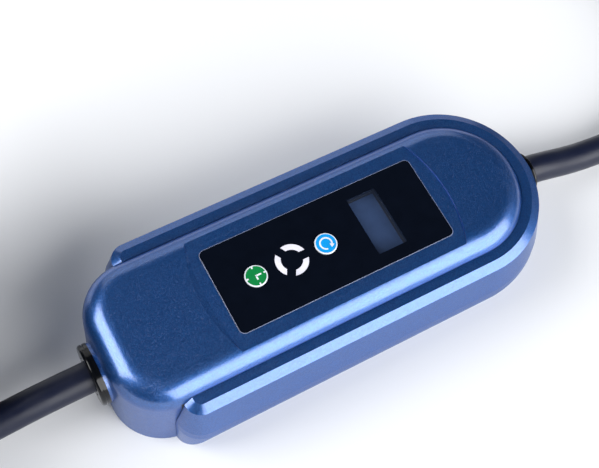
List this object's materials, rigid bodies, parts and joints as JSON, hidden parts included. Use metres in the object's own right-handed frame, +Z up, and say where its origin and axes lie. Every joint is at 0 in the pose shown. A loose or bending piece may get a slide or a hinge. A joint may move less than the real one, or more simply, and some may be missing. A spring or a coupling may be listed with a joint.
{
  "type": "portable ev charger",
  "caption": "In-cable control box for charging an electric car: long rounded blue housing with a black panel, a mains plug on a short lead and a vehicle connector on a long folded lead.",
  "frame": {"origin": "middle of the control box's flat underside, halfway between the nose and the round end", "axes": "+X along the box towards the mains lead, +Y towards the back, +Z up out of the front panel"},
  "size_m": [0.6342, 0.1784, 0.1137],
  "materials": {
    "blue_housing": "satin metallic blue paint on moulded plastic",
    "panel_black": "black gloss film",
    "display_grey": "grey-blue display window",
    "light_white": "white diffusing light guide",
    "button_green": "green moulded cap",
    "button_blue": "bright blue moulded plastic",
    "black_plastic": "fine-grained black moulding",
    "black_rubber": "matt black rubber",
    "gland_black": "glossy black moulding",
    "cable_black": "smooth black cable jacket",
    "core_brown": "insulated core",
    "board_green": "green circuit board and terminal plastic",
    "capacitor_yellow": "yellow capacitor box",
    "steel": "nickel-plated metal",
    "contact_brass": "copper alloy contacts"
  },
  "bodies": {
    "housing": {"base_tray": "blue_housing", "top_cover": "blue_housing", "housing_seal": "black_rubber", "case_screws": "steel", "front_panel": "panel_black", "display_lens": "display_grey", "display_module": "black_plastic", "light_ring": "light_white", "time_switch": "black_plastic", "current_switch": "black_plastic", "ring_leds": "light_white", "control_board": "board_green", "control_board_screws": "steel", "power_board": "board_green", "power_board_screws": "steel", "line_relay": "black_plastic", "neutral_relay": "black_plastic", "leakage_sensor": "button_blue", "sensor_links": "contact_brass", "supply_module": "black_plastic", "filter_capacitor": "capacitor_yellow", "bulk_capacitor": "black_plastic", "surge_disc": "button_blue", "mains_terminals": "board_green", "vehicle_terminals": "board_green", "board_header": "black_plastic", "mains_gland": "gland_black", "mains_gland_nut": "gland_black", "vehicle_gland": "gland_black", "vehicle_gland_nut": "gland_black", "mains_cores": "core_brown", "vehicle_cores": "core_brown", "mains_cable": "cable_black", "plug_body": "black_rubber", "plug_face": "black_plastic", "plug_pins": "steel", "plug_earth_clips": "steel", "vehicle_cable": "cable_black", "vehicle_hank": "cable_black", "vehicle_cable_end": "cable_black", "connector_shell": "black_plastic", "connector_insert": "black_plastic", "connector_contacts": "contact_brass", "connector_boot": "black_rubber"},
    "time_key": {"time_button": "button_green"},
    "current_key": {"current_button": "button_blue"}
  },
  "joints": [
    {"name": "time_press", "type": "slide", "parent": "housing", "child": "time_key", "axis": [0, 0, -1], "range_m": [0, 0.0006], "stiffness_N_per_m": 800},
    {"name": "current_press", "type": "slide", "parent": "housing", "child": "current_key", "axis": [0, 0, -1], "range_m": [0, 0.0006], "stiffness_N_per_m": 800}
  ]
}
